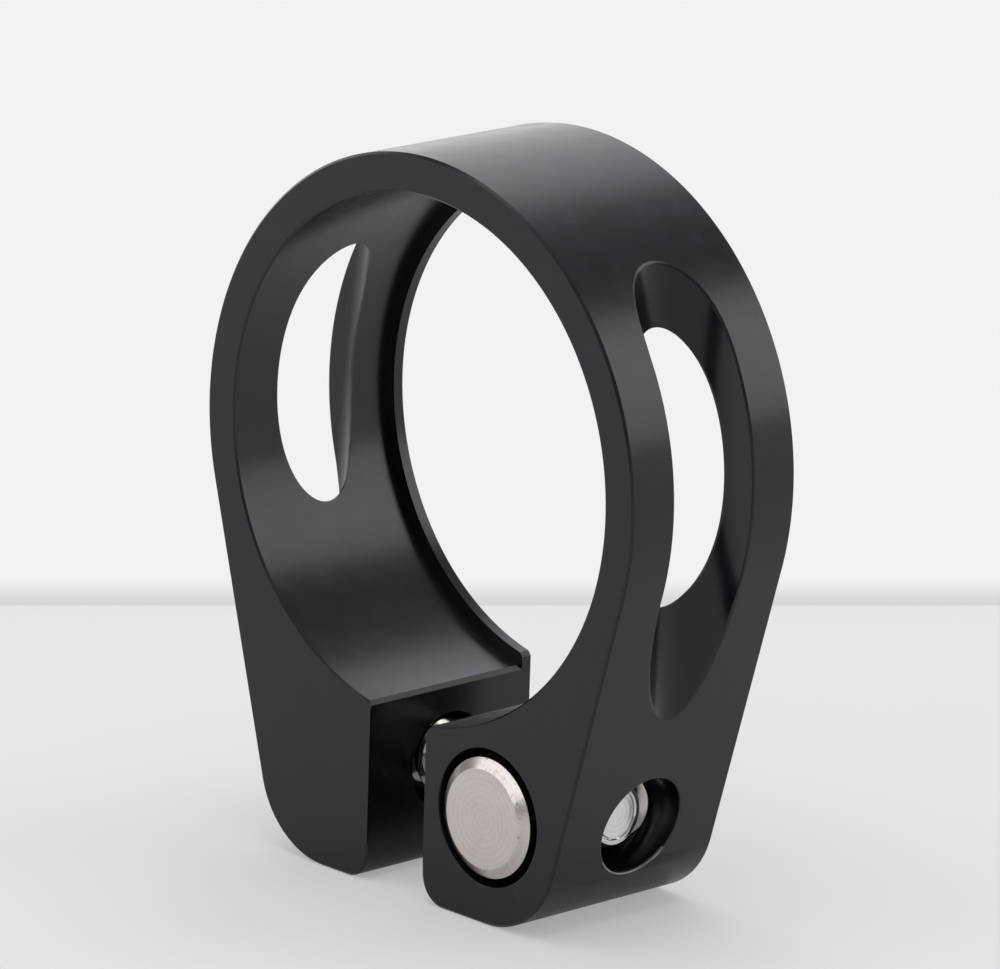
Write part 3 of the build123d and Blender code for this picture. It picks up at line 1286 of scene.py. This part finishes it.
def far_edge(s, place, axes):
    """Where the floor's far edge meets the left and the right side of the image."""
    right, up, back = axes
    wide, high = IMAGE_SIZE
    pixel = SENSOR_WIDTH / s.lens / wide
    ends = []
    for column in (0, wide):
        ray = right * (column - wide / 2) * pixel - up * (s.horizon_row - high / 2) * pixel - back
        ends.append(place + ray * ((foot_z - place.z) / ray.z))
    return ends


def lay_floor(s, middle, along, away):
    """Lay the floor up to the middle of its far edge, and stand the cove on that edge."""
    heading = atan2(along.y, along.x)
    add_plane = bpy.ops.mesh.primitive_plane_add
    floor_middle = middle - away * s.reach / 2
    floor = open_new("floor", add_plane, size=s.reach, location=floor_middle, rotation=(0, 0, heading))
    close()
    floor.data.materials.append(pale_floor(s))
    cove = open_new("cove", add_plane, size=s.reach, location=middle, rotation=(pi / 2, 0, heading))
    bpy.ops.mesh.select_all(action="SELECT")
    bpy.ops.transform.resize(value=(1, 1, s.cove_height / s.reach), center_override=middle)
    bpy.ops.transform.translate(value=(0, 0, s.cove_height / 2))
    close()
    cove.data.materials.append(soft_cove(s))


class CLAMP_OT_stage(Operator):
    """Set up the floor, the backdrop, the lights and the camera"""

    bl_idname = "clamp.stage"
    bl_label = "Stage"

    def execute(self, context):
        scene = context.scene
        s = scene.clamp_stage
        axes = camera_axes(s)
        right, up, back = axes
        place = back * s.distance + right * s.aim_right + up * s.aim_up
        set_camera(scene, s, place, axes)
        left_end, right_end = far_edge(s, place, axes)
        along = (right_end - left_end).normalized()
        away = Vector((-along.y, along.x, 0))
        lay_floor(s, (left_end + right_end) / 2, along, away)
        hang_lamps(s, along, away)
        scene.world = studio(s)
        scene.view_settings.view_transform = "Standard"
        return {"FINISHED"}


class CLAMP_PT_panel(Panel):
    """Lists the clamp's pieces and its stage"""

    bl_idname = "CLAMP_PT_panel"
    bl_label = "Seatpost clamp"
    bl_space_type = "VIEW_3D"
    bl_region_type = "UI"
    bl_category = "Clamp"

    def draw(self, context):
        for operator, settings in PIECES:
            box = self.layout.box()
            box.operator(operator.bl_idname)
            group = getattr(context.scene, settings)
            for name in group.__annotations__:
                box.prop(group, name)


PIECES = (
    (CLAMP_OT_collar, "clamp_collar"),
    (CLAMP_OT_barrel, "clamp_barrel"),
    (CLAMP_OT_screw, "clamp_screw"),
    (CLAMP_OT_washer, "clamp_screw"),
    (CLAMP_OT_stage, "clamp_stage"),
)
SETTINGS = {
    "clamp_collar": CollarSettings,
    "clamp_barrel": BarrelSettings,
    "clamp_screw": ScrewSettings,
    "clamp_stage": StageSettings,
}
CLASSES = (*SETTINGS.values(), *(operator for operator, _ in PIECES), CLAMP_PT_panel)


def register():
    """Register the classes and give each scene its settings."""
    for each in CLASSES:
        bpy.utils.register_class(each)
    for name, group in SETTINGS.items():
        setattr(bpy.types.Scene, name, PointerProperty(type=group))


def unregister():
    """Take the settings and the classes away again."""
    for name in SETTINGS:
        delattr(bpy.types.Scene, name)
    for each in reversed(CLASSES):
        bpy.utils.unregister_class(each)


def main():
    """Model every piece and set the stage."""
    register()
    for name in ("collar", "barrel", "screw", "washer", "stage"):
        getattr(bpy.ops.clamp, name)()


if __name__ == "__main__":
    main()
